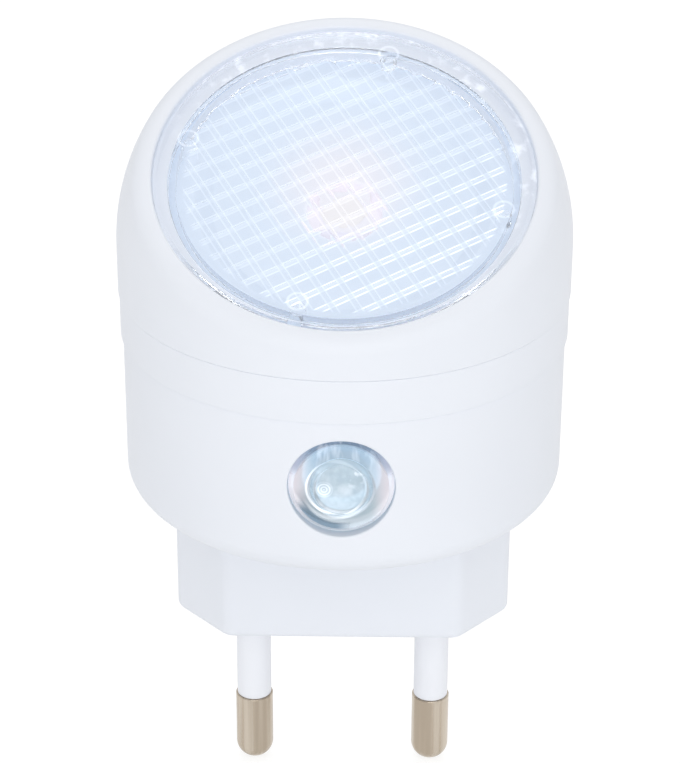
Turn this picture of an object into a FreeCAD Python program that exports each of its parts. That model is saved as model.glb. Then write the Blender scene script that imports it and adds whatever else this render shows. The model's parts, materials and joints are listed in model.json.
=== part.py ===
# Plug-in night light with a swivelling head: a round base with a flat two-pin plug
# and a light sensor, and a domed head whose slanted face holds a clear prism lens.
# Millimetres. The origin is the middle of the plug's engagement face, +Z points away
# from the socket, the pins point to -Z, and the sensor and the lens face -Y.
import FreeCAD, Part
import Sketcher
import math
import os
import re

doc = FreeCAD.newDocument("night_light")
sheet = doc.addObject("Spreadsheet::Sheet", "Size")
sizes = {
    # Plug block, after the standard flat two-pin plug
    "plug_width": 36.6,  # over the side edges before rounding, 35.3 when rounded
    "plug_flat": 24.4,  # width of the flat front and back faces
    "plug_thickness": 13.7,  # front face to back face
    "plug_corner": 2.0,  # round of the upright edges
    "plug_edge": 0.8,  # round of the end face's edge
    "plug_depth": 16.5,  # engagement face to the underside of the base
    "plug_wall": 1.8,  # wall of the hollow plug block
    "plug_end": 3.6,  # end wall that the pins pass through
    # Pins and their sleeves
    "pin_spacing": 19.2,  # between the pins' axes
    "pin_radius": 2.0,  # bare contact end
    "pin_length": 19.0,  # engagement face to the tip
    "sleeve_wall": 0.34,  # sleeve outside the pin's neck
    "tip_flat": 0.3,  # radius of the flat at the pin's tip
    "sleeve_radius": 1.84,  # outside of the insulating sleeve
    "sleeve_length": 10.9,  # engagement face to the sleeve's end
    "sleeve_root": 2.4,  # length of sleeve inside the end wall
    "boss_radius": 3.8,  # seat of a pin inside the plug block
    "boss_height": 4.4,  # above the end wall
    "flange_radius": 3.1,  # collar of the pin that sits on the boss
    "flange_thickness": 1.2,  # collar of the pin
    "tail_radius": 1.0,  # solder tail of the pin
    "tail_length": 3.8,  # above the collar
    # Clamp plate over the pins, and the strips from the pins to the board
    "clamp_gap": 0.85,  # plate to the plug block's inside, square to it
    "clamp_thickness": 1.8,  # plate that holds the pins down
    "clamp_post": 2.6,  # radius of the post under the clamp screw
    "strip_ring": 2.5,  # radius of the strip's eyelet
    "strip_thickness": 0.4,  # bronze strip
    "strip_width": 3.0,  # bronze strip
    "strip_stub": 0.5,  # strip above the board
    # Base
    "base_radius": 22.4,  # outside
    "window_margin": 0.3,  # window's edge to the cover
    "base_wall": 1.7,  # side wall
    "base_floor": 1.8,  # floor
    "base_round": 2.5,  # round of the lower edge
    "case_merge": 0.2,  # case screws' posts run into the side wall
    "case_post": 3.0,  # radius of a case screw's post
    "case_counterbore": 2.2,  # recess for a case screw's head
    "case_recess": 4.0,  # underside to the head's seat
    "cover_boss_length": 4.6,  # bosses under the cover
    "cover_boss": 2.2,  # radius of the bosses under the cover
    "case_angle": 90,  # direction of the first case screw
    # Base cover with the swivel hub
    "cover_thickness": 1.4,  # plate
    "cover_recess": 0.25,  # plate below the base's rim
    "bearing_width": 2.5,  # raised seat for the head, outside the hub
    "bearing_height": 1.1,  # raised seat for the head
    "hub_radius": 7.0,  # outside of the hub
    "hub_bore": 3.1,  # way for the lamp lead
    "stop_ring": 14.0,  # radius of the stop lugs
    "stop_width": 3.0,  # stop lugs, both ways
    "stop_gap": 0.3,  # stop lugs to the piece above or below them
    # Swivel collar
    "seam_gap": 0.05,  # running gap between base and collar
    "collar_step": 0.25,  # collar outside the base
    "collar_height": 4.5,  # visible band
    "collar_wall": 1.7,  # skirt
    "collar_floor": 1.8,  # floor of the collar
    "bearing_gap": 0.1,  # collar above the raised seat
    "washer_width": 2.8,  # friction washer, outside the hub
    "washer_thickness": 0.5,  # friction washer
    "retainer_width": 3.0,  # plate screwed on the hub, outside the hub
    "retainer_thickness": 1.0,  # plate screwed on the hub
    "retainer_angle": 90,  # direction of the first retainer screw
    # Head
    "head_step": 0.12,  # head outside the collar
    "head_wall": 1.8,  # wall
    "head_straight": 4.98,  # straight side below the dome's centre
    "head_tilt": 29.5,  # lens face to the level plane
    "face_depth": 10.32,  # dome's centre to the lens face
    "rim_round": 2.0,  # round of the rim around the lens
    "line_gap": 0.04,  # fine line between collar and head
    "spigot_wall": 1.5,  # ring of the head inside the collar
    "spigot_root": 1.0,  # ring of the head above the collar
    "bead_height": 0.4,  # snap bead on the ring
    "bead_reach": 0.3,  # snap bead on the ring
    # Lens
    "rim_width": 1.6,  # dome's edge in the face to the lens's mouth
    "lens_recess": 0.25,  # lens below the face
    "lens_thickness": 2.0,  # clear disc
    "seat_width": 1.5,  # ledge that the lens sits on
    "seat_thickness": 1.8,  # flange that the lens sits on
    "skirt_wall": 0.7,  # ring under the lens
    "skirt_gap": 0.3,  # ring under the lens to the reflector
    "prism_pitch": 2.07,  # from groove to groove
    "prism_side": 0.5,  # side of the square corner that cuts a groove
    "prism_turn": 29.6,  # grid to the level line
    "peg_inset": 1.3,  # pegs from the inside of the ledge
    "peg_radius": 0.85,  # peg
    "peg_reach": 0.4,  # peg below the reflector's flange
    "lens_edge": 0.4,  # slope around the outer face
    # Reflector, LED board and LED
    "tray_gap": 0.3,  # reflector inside the lens's mouth
    "tray_flange": 1.1,  # reflector's flange
    "bowl_inset": 2.5,  # bowl's mouth from the inside of the ledge
    "bowl_floor": 9.0,  # flat of the bowl
    "bowl_depth": 2.9,  # flange's face to the bowl's floor
    "bowl_flare": 1.7,  # bowl's mouth outside its knee
    "bowl_knee_rise": 1.3,  # knee above the bowl's floor
    "tray_wall": 1.0,  # bowl
    "tray_foot": 1.8,  # foot of the bowl on the board
    "led_board_radius": 7.2,  # board behind the reflector
    "led_board_thickness": 1.6,  # board behind the reflector
    "led_side": 5.0,  # square LED package
    "led_height": 1.6,  # LED package
    "led_wall": 0.5,  # package around the phosphor
    "led_cup_depth": 0.5,  # phosphor
    "led_screw_inset": 2.0,  # LED board's screws from its edge
    # Light sensor and its window
    "sensor_height": 9.9,  # underside of the base to the sensor's axis
    "window_radius": 5.1,  # clear window
    "window_bed": 3.2,  # window's flat seat behind the base's outside
    "window_set_back": 0.6,  # window's rim behind the base's outside
    "window_flange": 1.2,  # ears behind the wall
    "window_ear_width": 13.6,  # over both ears
    "window_ear_height": 6.0,  # ears
    "window_cup_gap": 0.4,  # recess around the sensor's tip
    "window_cup_depth": 1.2,  # recess for the sensor's tip
    "window_crown": 0.4,  # rise of the outer face over its rim
    "window_edge": 0.5,  # slope around the outer face
    "sensor_radius": 2.5,  # sensor's body
    "sensor_length": 8.6,  # sensor's body with its dome
    "sensor_rim": 0.4,  # rim at the back of the sensor
    "sensor_rim_height": 1.0,  # rim at the back of the sensor
    "hood_wall": 0.9,  # tube around the sensor
    "hood_length": 5.2,  # tube around the sensor
    "lead_side": 0.5,  # square solder leads
    "sensor_lead_spacing": 2.54,  # sensor's leads
    "sensor_lead_run": 1.6,  # from the sensor's back to the bend
    # Driver board and what stands on it
    "hood_clearance": 0.2,  # sensor's tube to the driver board
    "board_thickness": 1.6,  # driver board
    "board_post": 2.1,  # radius of the board's posts
    "board_screw_inset": 2.0,  # board screws from the board's edge
    "board_angle": 135,  # direction of the first board screw
    "film_length": 12.0,  # dropper capacitor
    "film_width": 5.6,  # dropper capacitor
    "film_height": 5.5,  # dropper capacitor
    "film_corner": 0.8,  # upright edges of the dropper capacitor
    "can_radius": 2.5,  # smoothing capacitor
    "can_length": 7.0,  # smoothing capacitor
    "can_y": 6.2,  # smoothing capacitor behind the middle
    "bridge_width": 4.0,  # bridge rectifier
    "bridge_length": 4.8,  # bridge rectifier
    "bridge_height": 2.4,  # bridge rectifier
    "bridge_x": 8.1,  # bridge rectifier left of the middle
    "bridge_y": 2.4,  # bridge rectifier behind the middle
    "case_radius": 2.3,  # transistor
    "case_height": 4.8,  # transistor
    "case_lift": 1.6,  # transistor above the board
    "switch_x": 8.3,  # transistor left of the middle
    "switch_y": 5.6,  # transistor in front of the middle
    "lead_radius": 0.3,  # round solder leads
    "fuse_radius": 1.25,  # fusible resistor
    "fuse_length": 6.3,  # fusible resistor
    "fuse_x": 7.7,  # fusible resistor right of the middle
    "fuse_y": 3.6,  # fusible resistor behind the middle
    "resistor_radius": 0.9,  # bleeder and limiting resistors
    "resistor_length": 3.6,  # bleeder and limiting resistors
    "resistor_x": 4.9,  # resistors from the middle
    "resistor_y": 3.0,  # resistors in front of the middle
    "zener_radius": 0.7,  # zener diode
    "zener_length": 3.0,  # zener diode
    "zener_x": 7.3,  # zener diode right of the middle
    "zener_y": 3.3,  # zener diode in front of the middle
    # Lamp lead, on the swivel axis
    "cable_radius": 1.2,  # two-core lamp lead
    "cable_bend": 3.0,  # radius of the bend up to the LED board
    "cable_end": 0.5,  # straight behind the LED board
    # Screws: shank radius, head radius and head height
    "case_screw": 1.1,  # case screw's shank
    "case_screw_length": 10.4,  # case screw under its head
    "small_screw": 0.9,  # small screws' shank
    "small_screw_length": 4.2,  # small screws under their heads
    "tiny_screw": 0.8,  # LED board screws' shank
    "tiny_screw_length": 2.9,  # LED board screws under their heads
    "head_share": 1.75,  # screw head to shank
    "screw_head": 1.1,  # height of the screw heads
    "cross_share": 0.65,  # length of the cross recess to the screw head
    "cross_width": 0.45,  # cross recess
    "cross_depth": 0.5,  # cross recess
    # Clearances
    "fit_gap": 0.05,  # parts that are pushed together
    "loose_gap": 0.2,  # parts that drop into place
    "small_flat": 0.02,  # faces that rest on each other
}
for row, (alias, value) in enumerate(sizes.items(), 1):
    sheet.set(f"A{row}", alias)
    sheet.set(f"B{row}", str(value))
    sheet.setAlias(f"B{row}", alias)
doc.recompute()
touch = 0.001  # mm, how near two measured places are when they count as one


def named(text):
    """A formula in size names, as the sheet's objects understand it."""
    return re.sub(r"\b[a-z]+(_[a-z]+)+\b", r"Size.\g<0>", str(text))


def bind(item, **formulas):
    """Tie an object's own properties to formulas."""
    for name, formula in formulas.items():
        item.setExpression(name, named(formula))
    return item


def place(item, x="0", y="0", z="0"):
    """Tie an object's place to formulas."""
    for axis, formula in (("x", x), ("y", y), ("z", z)):
        item.setExpression(f"Placement.Base.{axis}", named(formula))
    return item


def turn(item, axis, angle):
    """Turn an object about one direction by an angle in degrees or a formula."""
    any_angle = 45
    item.Placement = FreeCAD.Placement(FreeCAD.Vector(), FreeCAD.Rotation(FreeCAD.Vector(*axis), any_angle))
    item.setExpression("Placement.Rotation.Angle", named(angle))
    return item


def solid(kind, label, x="0", y="0", z="0", **sizes):
    """A primitive: Box, Cylinder, Sphere or Torus, with its sizes and place."""
    item = doc.addObject("Part::" + kind, label)
    return place(bind(item, **sizes), x, y, z)


def block(label, width, depth, height, x="0", y="0", z="0"):
    """A box centred on x and y, standing on z."""
    item = solid("Box", label, Length=width, Width=depth, Height=height)
    return place(item, f"{x} - ({width}) / 2", f"{y} - ({depth}) / 2", z)


def rod(label, radius, height, x="0", y="0", z="0"):
    """An upright cylinder standing on z."""
    return solid("Cylinder", label, x, y, z, Radius=radius, Height=height)


def joined(label, *items):
    """One solid made of several that overlap."""
    item = doc.addObject("Part::MultiFuse", label)
    item.Shapes = list(items)
    return item


def group(label, *items):
    """Separate solids that share one name."""
    item = doc.addObject("Part::Compound", label)
    item.Links = list(items)
    return item


def cut(label, base, *tools):
    """A solid less the tools."""
    item = doc.addObject("Part::Cut", label)
    item.Base = base
    item.Tool = tools[0] if len(tools) == 1 else group(label + "_tools", *tools)
    return item


def draw(sketch, outline):
    """Draw a closed outline of straight lines through corners given by formulas."""
    corners = len(outline)
    start = [FreeCAD.Vector(k, k * k, 0) for k in range(corners)]
    for k in range(corners):
        sketch.addGeometry(Part.LineSegment(start[k], start[(k + 1) % corners]), False)
    for k in range(corners):
        sketch.addConstraint(Sketcher.Constraint("Coincident", k, 2, (k + 1) % corners, 1))
    for k, (across, along) in enumerate(outline):
        for kind, formula in (("DistanceX", across), ("DistanceY", along)):
            index = sketch.addConstraint(Sketcher.Constraint(kind, -1, 1, k, 1, k + 1.0))
            sketch.setExpression(f"Constraints[{index}]", named(formula))


def sketched(body, role, outline):
    """A sketch on one of the body's own planes."""
    sketch = body.newObject("Sketcher::SketchObject", body.Name + "_outline")
    plane = next(item for item in body.Origin.OriginFeatures if item.Role == role)
    sketch.AttachmentSupport = [(plane, "")]
    sketch.MapMode = "FlatFace"
    draw(sketch, outline)
    return sketch


def turned(label, outline):
    """A body turned about its Z axis from an outline of radii and heights."""
    body = doc.addObject("PartDesign::Body", label)
    sketch = sketched(body, "XZ_Plane", outline)
    feature = body.newObject("PartDesign::Revolution", label + "_turning")
    feature.Profile = sketch
    feature.ReferenceAxis = (sketch, ["V_Axis"])
    feature.Angle = 360
    return body


def raised(label, outline, height):
    """A body raised from the level plane over an outline of x and y."""
    body = doc.addObject("PartDesign::Body", label)
    sketch = sketched(body, "XY_Plane", outline)
    feature = body.newObject("PartDesign::Pad", label + "_pad")
    feature.Profile = sketch
    bind(feature, Length=height)
    return body


def rounded(label, base, reach, chosen):
    """A solid with the edges that a test chooses rounded."""
    doc.recompute()
    item = doc.addObject("Part::Fillet", label)
    item.Base = base
    item.Edges = [(k + 1, reach, reach) for k, edge in enumerate(base.Shape.Edges) if chosen(edge)]
    return item


def upright(edge):
    """Whether an edge runs straight up."""
    low, high = edge.BoundBox.ZMin, edge.BoundBox.ZMax
    return high - low > 0.99 * edge.Length


def shared(label, first, second):
    """What two solids have in common."""
    item = doc.addObject("Part::Common", label)
    item.Base = first
    item.Tool = second
    return item


nodes = []


def node(name, item):
    """Give a finished piece its name and list it for writing out."""
    item.Label = name
    nodes.append(item)
    return item


def ring_places(ring, first, number):
    """The x and y formulas of places spread evenly round a circle."""
    angles = [f"({first} + {k} * 360 / {number})" for k in range(number)]
    return [(f"{ring} * cos({angle})", f"{ring} * sin({angle})") for angle in angles]


def screws(name, places, level, way, shank, length):
    """A group of cross-headed screws whose heads sit at a level and point along +Z or -Z."""
    copies = []
    for k, (x, y) in enumerate(places):
        label = f"{name}_{k + 1}"
        head = f"{shank} * head_share"
        outline = [("0", f"{-way} * ({length})"), (shank, f"{-way} * ({length})"), (shank, "0"),
                   (head, "0"), (head, f"{way} * screw_head"), ("0", f"{way} * screw_head")]
        form = turned(label + "_form", outline)
        low = f"{way} * screw_head - cross_depth"
        span = f"2 * cross_share * {head}"
        bars = [block(f"{label}_bar", span, "cross_width", "2 * cross_depth", z=low),
                block(f"{label}_bar", "cross_width", span, "2 * cross_depth", z=low)]
        copies.append(place(cut(label + "_screw", form, joined(label + "_cross", *bars)), x, y, level))
    return node(name, group(name, *copies))


# Levels and radii that follow from the sizes
floor_top = "(plug_depth + base_floor)"
sensor_axis = "(plug_depth + sensor_height)"
cover_level = f"({sensor_axis} + window_radius + window_margin)"
cover_top = f"({cover_level} + cover_thickness)"
base_top = f"({cover_top} + cover_recess)"
base_inside = "(base_radius - base_wall)"
case_ring = f"({base_inside} + case_merge - case_post)"
board_radius = f"({case_ring} - case_post - loose_gap)"
pin_neck = "(sleeve_radius - sleeve_wall)"
boss_top = "(plug_end + boss_height)"
clamp_level = f"({boss_top} + flange_thickness)"
clamp_top = f"({clamp_level} + small_flat + clamp_thickness)"
hood_radius = "(sensor_radius + loose_gap + hood_wall)"
board_top = f"({sensor_axis} - {hood_radius} - hood_clearance)"
board_under = f"({board_top} - board_thickness)"
post_top = f"({cover_level} - cover_boss_length)"
case_seat = "(plug_depth + case_recess)"
bearing_top = f"({cover_top} + bearing_height)"
collar_under = f"({bearing_top} + bearing_gap)"
collar_floor_top = f"({collar_under} + collar_floor)"
hub_top = f"({collar_floor_top} + washer_thickness + fit_gap)"
retainer_top = f"({hub_top} + retainer_thickness)"
collar_bottom = f"({base_top} + seam_gap)"
collar_top = f"({collar_bottom} + collar_height)"
collar_radius = "(base_radius + collar_step)"
collar_inside = f"({collar_radius} - collar_wall)"
spigot_low = f"({collar_floor_top} + loose_gap)"
head_radius = f"({collar_radius} + head_step)"
head_bottom = f"({collar_top} + line_gap)"
dome_level = f"({head_bottom} + head_straight)"

# Radii and depths along the lens's axis, from the dome's centre
opening_radius = f"(sqrt({head_radius} ^ 2 - face_depth ^ 2) - rim_width)"
ledge_bore = f"({opening_radius} - seat_width)"
skirt_out = f"({ledge_bore} - fit_gap)"
skirt_in = f"({skirt_out} - skirt_wall)"
bowl_mouth = f"({ledge_bore} - bowl_inset)"
led_window = "(led_side * sqrt(0.5) + loose_gap)"
led_cup = "(led_side / 2 - led_wall)"
lens_top = "(face_depth - lens_recess)"
lens_under = f"({lens_top} - lens_thickness)"
seat_under = f"({lens_under} - seat_thickness)"
tray_top = f"({seat_under} - small_flat)"
tray_under = f"({tray_top} - tray_flange)"
bowl_level = f"({tray_top} - bowl_depth)"
led_board_top = f"({bowl_level} - tray_foot)"
led_board_under = f"({led_board_top} - led_board_thickness)"

pin_places = [("left", "-pin_spacing / 2"), ("right", "pin_spacing / 2")]
case_places = ring_places(case_ring, "case_angle", 3)
board_places = ring_places(f"({board_radius} - board_screw_inset)", "board_angle", 2)
retainer_places = ring_places("((hub_radius + hub_bore) / 2)", "retainer_angle", 3)
led_places = ring_places("(led_board_radius - led_screw_inset)", "0", 2)


def to_front(item, depth="0"):
    """Lay an upright piece down on the sensor's axis, its top to the front, its foot at a depth."""
    return place(turn(item, (1, 0, 0), 90), y=f"-{depth}", z=sensor_axis)


def tilted(item, depth="0"):
    """Stand a piece on the lens's axis, at a depth from the dome's centre."""
    turn(item, (1, 0, 0), "head_tilt")
    return place(item, y=f"-{depth} * sin(head_tilt)", z=f"{dome_level} + {depth} * cos(head_tilt)")


def plug_outline(inset):
    """The plug block's six-sided outline, moved inwards by a formula square to its sides."""
    slope = "((plug_width - plug_flat) / plug_thickness)"
    face = f"(plug_thickness / 2 - {inset})"
    point = f"(plug_width / 2 - {inset} * sqrt(1 + {slope} ^ 2))"
    flat = f"({point} - {slope} * {face})"
    return [(f"-{point}", "0"), (f"-{flat}", f"-{face}"), (flat, f"-{face}"),
            (point, "0"), (flat, face), (f"-{flat}", face)]


# Base housing: a moulded cup and the hollow plug block in one piece
cup_outline = [("0", "plug_depth"), ("base_radius", "plug_depth"), ("base_radius", base_top),
               (base_inside, base_top), (base_inside, floor_top), ("0", floor_top)]
cup = turned("cup_form", cup_outline)
cup = rounded("cup", cup, sheet.base_round, lambda edge: edge.BoundBox.ZMax < sheet.plug_depth + touch
              and edge.BoundBox.XLength > sheet.base_radius)
plug = raised("plug_form", plug_outline("0"), "plug_depth + base_floor / 2")
plug = rounded("plug_sides", plug, sheet.plug_corner, upright)
plug = rounded("plug", plug, sheet.plug_edge, lambda edge: edge.BoundBox.ZMax < touch)
pocket = place(raised("plug_pocket", plug_outline("plug_wall"), f"{floor_top} - plug_end + base_floor"),
               z="plug_end")
pad_block = block("pad_block", "window_ear_width + 2 * loose_gap", "window_bed",
                  f"{cover_level} - {floor_top}", y="-(base_radius - window_bed / 2)", z=floor_top)
window_pad = shared("window_pad", pad_block, rod("pad_limit", "base_radius - base_wall / 2", cover_level))
added = [rod(f"{side}_boss", "boss_radius", "plug_end / 2 + boss_height", x=x, z="plug_end / 2")
         for side, x in pin_places]
added.append(rod("clamp_post_rod", "clamp_post", f"{clamp_level} - plug_end / 2", z="plug_end / 2"))
added += [rod("board_post_rod", "board_post", f"{board_under} - plug_depth - base_floor / 2", x, y,
              "plug_depth + base_floor / 2") for x, y in board_places]
added += [rod("case_post_rod", "case_post", f"{post_top} - plug_depth - base_floor / 2", x, y,
              "plug_depth + base_floor / 2") for x, y in case_places]
shell = cut("base_shell", joined("base_form", cup, plug), pocket)
shell = joined("base_with_posts", shell, window_pad, *added)
holes = [rod(f"{side}_sleeve_hole", "sleeve_radius + fit_gap", "2 * sleeve_root", x=x, z="-sleeve_root")
         for side, x in pin_places]
holes += [rod(f"{side}_neck_hole", f"{pin_neck} + fit_gap", f"{boss_top} + plug_end", x=x)
          for side, x in pin_places]
holes.append(rod("clamp_pilot", "small_screw + fit_gap", "small_screw_length + fit_gap",
                 z=f"{clamp_top} - small_screw_length - fit_gap"))
holes += [rod("board_pilot", "small_screw + fit_gap", "small_screw_length + fit_gap", x, y,
              f"{board_top} - small_screw_length - fit_gap") for x, y in board_places]
holes += [rod("case_hole", "case_screw + fit_gap", cover_level, x, y) for x, y in case_places]
holes += [rod("case_counterbore_rod", "case_counterbore", case_seat, x, y) for x, y in case_places]
holes.append(to_front(rod("window_hole", "window_radius + fit_gap", "base_radius"),
                      f"({base_inside} - window_bed)"))
base_housing = shell
for k, hole in enumerate(holes):
    base_housing = cut(f"base_hole_{k + 1}", base_housing, hole)
node("base_housing", base_housing)

# Contact pins and their insulating sleeves
for side, x in pin_places:
    outline = [("0", "-pin_length"), ("pin_radius", "-pin_length"), ("pin_radius", "-sleeve_length"),
               (pin_neck, "-sleeve_length"), (pin_neck, boss_top), ("flange_radius", boss_top),
               ("flange_radius", clamp_level), ("tail_radius", clamp_level),
               ("tail_radius", f"{clamp_level} + tail_length"), ("0", f"{clamp_level} + tail_length")]
    pin = rounded(f"{side}_pin_round", turned(f"{side}_pin_form", outline), sheet.pin_radius - sheet.tip_flat,
                  lambda edge: edge.BoundBox.ZMax < touch - sheet.pin_length)
    node(f"contact_pin_{side}", place(pin, x=x))
    outline = [(f"{pin_neck} + small_flat", "-sleeve_length"), ("sleeve_radius", "-sleeve_length"),
               ("sleeve_radius", "sleeve_root"), (f"{pin_neck} + small_flat", "sleeve_root")]
    node(f"pin_sleeve_{side}", place(turned(f"{side}_sleeve", outline), x=x))

# Clamp plate over the pins' collars, with its screw
plate = place(raised("clamp_plate", plug_outline("(plug_wall + clamp_gap)"), "clamp_thickness"),
              z=f"{clamp_level} + small_flat")
plate_holes = [rod(f"{side}_tail_hole", "tail_radius + fit_gap", clamp_top, x=x) for side, x in pin_places]
plate_holes.append(rod("clamp_screw_hole", "small_screw + fit_gap", clamp_top))
node("pin_clamp", cut("pin_clamp_cut", plate, *plate_holes))
screws("clamp_screw", [("0", "0")], clamp_top, 1, "small_screw", "small_screw_length")

# Bronze strips that carry the current from the pins up to the board
for side, x in pin_places:
    way = -1 if side == "left" else 1
    level = f"({clamp_top} + small_flat)"
    reach = f"({x} + {way} * (strip_ring - strip_thickness / 2))"
    eyelet = rod(f"{side}_eyelet", "strip_ring", "strip_thickness", x=x, z=level)
    riser = block(f"{side}_riser", "strip_thickness", "strip_width",
                  f"{board_top} + strip_stub - {level}", x=reach, z=level)
    tail_hole = rod(f"{side}_strip_hole", "tail_radius + fit_gap", "2 * tail_length", x=x, z=clamp_level)
    strip = joined(f"{side}_strip_form", eyelet, riser)
    node(f"contact_strip_{side}", cut(f"{side}_strip", strip, tail_hole))

# Driver board
board = rod("board_disc", board_radius, "board_thickness", z=board_under)
board_cuts = [rod("board_hole", "small_screw + fit_gap", board_top, x, y) for x, y in board_places]
for side, x in pin_places:
    way = -1 if side == "left" else 1
    board_cuts.append(block(f"{side}_slot", "strip_thickness + 2 * fit_gap", "strip_width + 2 * fit_gap",
                            board_top, x=f"({x} + {way} * (strip_ring - strip_thickness / 2))"))
node("driver_board", cut("driver_board_cut", board, *board_cuts))
screws("board_screws", board_places, board_top, 1, "small_screw", "small_screw_length")
on_board = f"({board_top} + small_flat)"


def axial(name, radius, length, x, y):
    """A round part lying along Y on the board, with a lead bent down from each end."""
    level = f"({on_board} + {radius} + loose_gap)"
    body = place(turn(rod(name + "_body", radius, length), (1, 0, 0), 90), x, f"{y} + {length} / 2", level)
    span = f"({length} + 4 * lead_side)"
    wire = block(name + "_wire", "lead_side", span, "lead_side", x, y, f"{level} - lead_side / 2")
    legs = [block(name + "_leg", "lead_side", "lead_side", f"{level} - {on_board}", x,
                  f"{y} + {way} * ({span} - lead_side) / 2", on_board) for way in (-1, 1)]
    return node(name, joined(name + "_whole", body, wire, *legs))


# Parts of the driver circuit: a film capacitor drops the mains voltage, a bridge and a
# smoothing capacitor make it steady, and the sensor's transistor switches the lamp
film = block("film_form", "film_length", "film_width", "film_height",
             z=f"{board_under} - small_flat - film_height")
node("dropper_capacitor", rounded("film_round", film, sheet.film_corner, upright))
node("bridge_rectifier", block("bridge", "bridge_width", "bridge_length", "bridge_height",
                               x="-bridge_x", y="bridge_y", z=on_board))
can_level = f"({on_board} + can_radius)"
can = turn(rod("can_body", "can_radius", "can_length"), (0, 1, 0), 90)
place(can, "-can_length / 2", "can_y", can_level)
can_legs = []
for way in (-1, 1):
    lead_y = f"can_y + {way} * sensor_lead_spacing / 2"
    lead_x = "can_length / 2 + sensor_lead_run / 2"
    can_legs.append(block("can_lead", "sensor_lead_run", "lead_side", "lead_side", lead_x, lead_y, can_level))
    can_legs.append(block("can_leg", "lead_side", "lead_side", f"{can_level} - {on_board} + lead_side",
                          "can_length / 2 + sensor_lead_run - lead_side / 2", lead_y, on_board))
node("smoothing_capacitor", joined("smoothing_whole", can, *can_legs))
axial("fuse_resistor", "fuse_radius", "fuse_length", "fuse_x", "fuse_y")
axial("bleeder_resistor", "resistor_radius", "resistor_length", "-resistor_x", "-resistor_y")
axial("limiting_resistor", "resistor_radius", "resistor_length", "resistor_x", "-resistor_y")
axial("zener_diode", "zener_radius", "zener_length", "zener_x", "-zener_y")
case_level = f"({on_board} + case_lift)"
case_form = rod("transistor_rod", "case_radius", "case_height", "-switch_x", "-switch_y", case_level)
case_flat = block("transistor_flat", "2 * case_radius", "case_radius", "2 * case_height", "-switch_x",
                  "-switch_y - case_radius", case_level)
case_legs = [rod("transistor_leg", "lead_radius", "case_lift + lead_radius",
                 f"-switch_x + {k} * case_radius / 2", "-switch_y", on_board) for k in (-1, 0, 1)]
transistor = cut("transistor_case", case_form, case_flat)
node("switch_transistor", joined("transistor_whole", transistor, *case_legs))

# Light sensor in its tube, behind the clear window in the base's front
window_back = "(base_radius - window_bed - window_flange)"
window_front = "(base_radius - window_set_back)"
window_cup = "(sensor_radius + window_cup_gap)"
sensor_tip = f"({window_back} + window_cup_depth - loose_gap)"
sensor_back = f"({sensor_tip} - sensor_length)"
outline = [("0", f"{window_back} + window_cup_depth"), (window_cup, f"{window_back} + window_cup_depth"),
           (window_cup, window_back), ("window_radius", window_back),
           ("window_radius", f"{window_front} - window_edge"), ("window_radius - window_edge", window_front),
           ("0", f"{window_front} + window_crown")]
window_disc = to_front(turned("window_disc", outline))
ears = block("window_ears", "window_ear_width", "window_flange - small_flat", "window_ear_height",
             y=f"-({window_back} + (window_flange - small_flat) / 2)",
             z=f"{sensor_axis} - window_ear_height / 2")
ears_cup = to_front(rod("ears_cup", window_cup, f"{window_back} + window_cup_depth"))
ears = cut("window_ears_cut", ears, ears_cup)
node("sensor_window", joined("sensor_window_whole", window_disc, ears))
sensor_base = rod("sensor_rim_disc", "sensor_radius + sensor_rim", "sensor_rim_height", z=sensor_back)
sensor_side = rod("sensor_rod", "sensor_radius", "sensor_length - sensor_radius", z=sensor_back)
sensor_dome = solid("Sphere", "sensor_dome", z=f"{sensor_tip} - sensor_radius", Radius="sensor_radius")
node("light_sensor", to_front(joined("sensor_form", sensor_base, sensor_side, sensor_dome)))
sensor_legs = []
for way in (-1, 1):
    lead_x = f"{way} * sensor_lead_spacing / 2"
    across = block("sensor_lead", "lead_side", "sensor_lead_run", "lead_side", lead_x,
                   f"-{sensor_back} + small_flat + sensor_lead_run / 2", f"{sensor_axis} - lead_side / 2")
    down = block("sensor_leg", "lead_side", "lead_side", f"{sensor_axis} + lead_side / 2 - {on_board}",
                 lead_x, f"-{sensor_back} + small_flat + sensor_lead_run - lead_side / 2", on_board)
    sensor_legs.append(joined("sensor_bent_lead", across, down))
node("sensor_leads", group("sensor_leads_group", *sensor_legs))
hood_back = f"({window_back} - loose_gap - hood_length)"
hood_tube = to_front(rod("hood_tube", hood_radius, "hood_length"), hood_back)
hood_foot = block("hood_foot", hood_radius, "hood_length", f"{sensor_axis} - {on_board}",
                  y=f"-({hood_back} + hood_length / 2)", z=on_board)
hood_bore = to_front(rod("hood_bore", "sensor_radius + loose_gap", "base_radius"))
node("sensor_hood", cut("sensor_hood_cut", joined("sensor_hood_form", hood_tube, hood_foot), hood_bore))

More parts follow.
